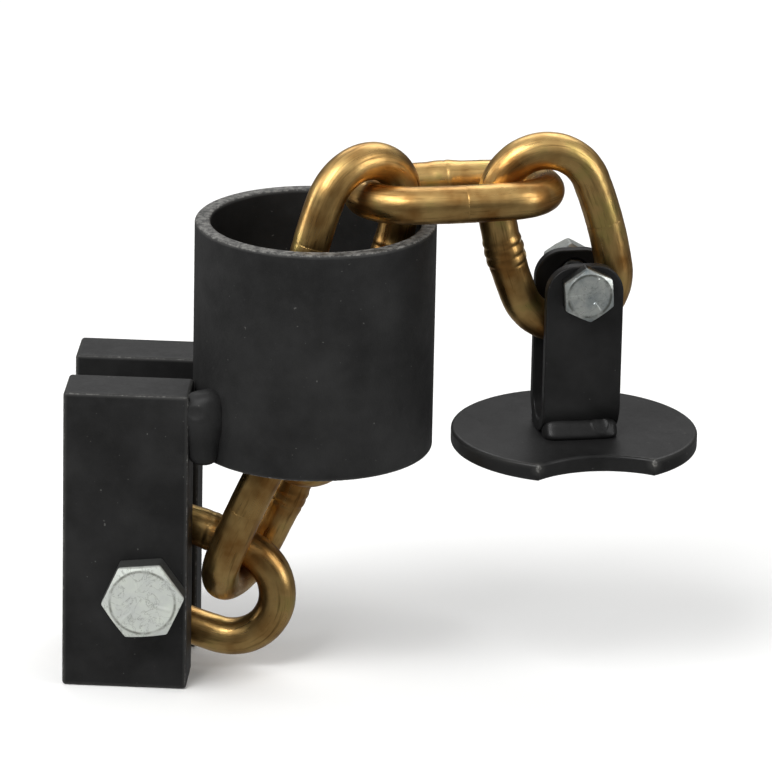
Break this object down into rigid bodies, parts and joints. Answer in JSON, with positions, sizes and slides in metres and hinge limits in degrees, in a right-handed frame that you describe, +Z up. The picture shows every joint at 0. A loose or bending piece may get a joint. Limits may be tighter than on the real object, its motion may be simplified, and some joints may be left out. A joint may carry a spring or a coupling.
{
  "type": "door chain guard",
  "caption": "Welded steel chain guard: a slotted bar jaw on a short tube, a bolted gold chain through the tube, and a notched cap disc hung on a clevis at its end.",
  "frame": {"origin": "on the guard tube's axis, at its lower rim", "axes": "+Z up along the tube; +X from the jaw bars towards the cap disc; +Y away from the viewer, along the jaw bolt from its head to its nut"},
  "size_m": [0.1655, 0.0732, 0.1482],
  "materials": {
    "bar_paint": "satin black paint, worn at the edges",
    "tube_paint": "satin black paint, worn at the rim",
    "disc_paint": "semi-gloss black paint",
    "weld_paint": "satin black paint over rippled weld",
    "chain_gold": "yellow chromate plating, glossy",
    "zinc_bolt": "bright zinc plating with white stains",
    "nylon_ring": "matt blue nylon"
  },
  "bodies": {
    "guard": {"jaw_bar_front": "bar_paint", "jaw_bar_rear": "bar_paint", "guard_tube": "tube_paint", "tube_weld_front": "weld_paint", "tube_weld_rear": "weld_paint", "jaw_bolt": "zinc_bolt", "jaw_nut": "zinc_bolt", "jaw_nut_insert": "nylon_ring"},
    "link_1": {"chain_link_1": "chain_gold"},
    "link_2": {"chain_link_2": "chain_gold"},
    "link_3": {"chain_link_3": "chain_gold"},
    "link_4": {"chain_link_4": "chain_gold"},
    "link_5": {"chain_link_5": "chain_gold"},
    "link_6": {"chain_link_6": "chain_gold"},
    "cap": {"cap_disc": "disc_paint", "clevis_strap": "disc_paint", "clevis_weld_front": "weld_paint", "clevis_weld_rear": "weld_paint", "clevis_bolt": "zinc_bolt", "clevis_nut": "zinc_bolt", "clevis_nut_insert": "nylon_ring"}
  },
  "joints": [
    {"name": "link_1_swing", "type": "hinge", "parent": "guard", "child": "link_1", "pos_m": [-0.04194, 0, -0.0354], "axis": [0, 1, 0], "range_deg": [-10, 0]},
    {"name": "link_2_swing", "type": "hinge", "parent": "link_1", "child": "link_2", "pos_m": [-0.0203, -0.0018, -0.0383], "axis": [0, 1, 0], "range_deg": [0, 10]},
    {"name": "link_3_twist", "type": "hinge", "parent": "link_2", "child": "link_3", "pos_m": [-0.0041, -0.0073, -0.004], "axis": [0.057, -0.1469, 0.9875], "range_deg": [0, 10]},
    {"name": "link_4_twist", "type": "hinge", "parent": "link_3", "child": "link_4", "pos_m": [0.0056, -0.0083, 0.0329], "axis": [0.3339, 0.097, 0.9376], "range_deg": [-6, 12]},
    {"name": "link_5_lift", "type": "hinge", "parent": "link_4", "child": "link_5", "pos_m": [0.0129, 0.0053, 0.069], "axis": [0.259, -0.9659, 0], "range_deg": [0, 30]},
    {"name": "link_6_swing", "type": "hinge", "parent": "link_5", "child": "link_6", "pos_m": [0.0598, 0.0064, 0.0701], "axis": [0.2419, -0.9703, 0], "range_deg": [0, 25]},
    {"name": "cap_swing", "type": "hinge", "parent": "link_6", "child": "cap", "pos_m": [0.069, 0.0087, 0.045], "axis": [0.2419, -0.9703, 0], "range_deg": [-2, 60]}
  ],
  "couplings": [
    {"joint": "link_2_swing", "follows": "link_1_swing", "ratio": -1}
  ]
}
